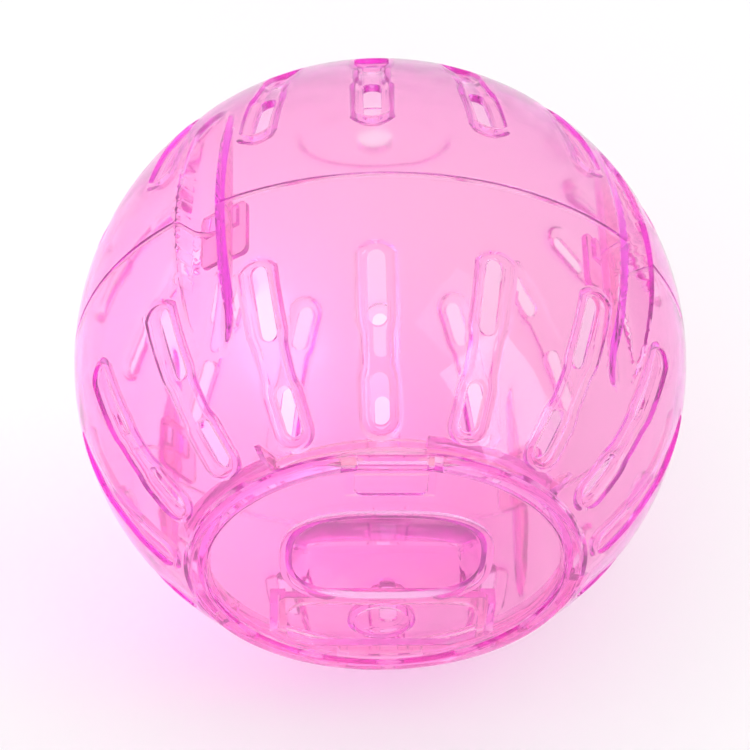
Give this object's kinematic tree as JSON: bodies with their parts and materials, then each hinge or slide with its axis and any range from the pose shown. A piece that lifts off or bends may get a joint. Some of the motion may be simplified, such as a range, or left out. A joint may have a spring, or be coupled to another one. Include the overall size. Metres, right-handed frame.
{
  "type": "hamster ball",
  "caption": "Clear plastic exercise ball: two slotted snap-together halves, a twist-in door ring, and a hinged round door with an oval finger pocket and a sliding latch.",
  "frame": {"origin": "centre of the ball", "axes": "-Y out through the middle of the door, +Z towards the door's hinge, +X to the right as seen from in front of the door"},
  "size_m": [0.12, 0.1072, 0.12],
  "materials": {
    "shell": "clear pink, polished moulding",
    "door_ring": "clear pink, polished moulding",
    "door": "clear pink, polished moulding",
    "latch": "clear pink, polished moulding"
  },
  "bodies": {
    "front_half": {"front_shell": "shell"},
    "rear_half": {"rear_shell": "shell"},
    "ring": {"door_ring": "door_ring"},
    "lid": {"door": "door"},
    "slider": {"latch": "latch"}
  },
  "joints": [
    {"name": "halves_part", "type": "slide", "parent": "front_half", "child": "rear_half", "axis": [0, 1, 0], "range_m": [0, 0.07]},
    {"name": "ring_twist", "type": "hinge", "parent": "front_half", "child": "ring", "pos_m": [0, -0.048, 0], "axis": [0, 1, 0], "range_deg": [-45, 0]},
    {"name": "door_swing", "type": "hinge", "parent": "ring", "child": "lid", "pos_m": [0, -0.04665, 0.0349], "axis": [-1, 0, 0], "range_deg": [0, 110]},
    {"name": "latch_slide", "type": "slide", "parent": "lid", "child": "slider", "axis": [0, 0, -1], "range_m": [0, 0.0018]}
  ]
}
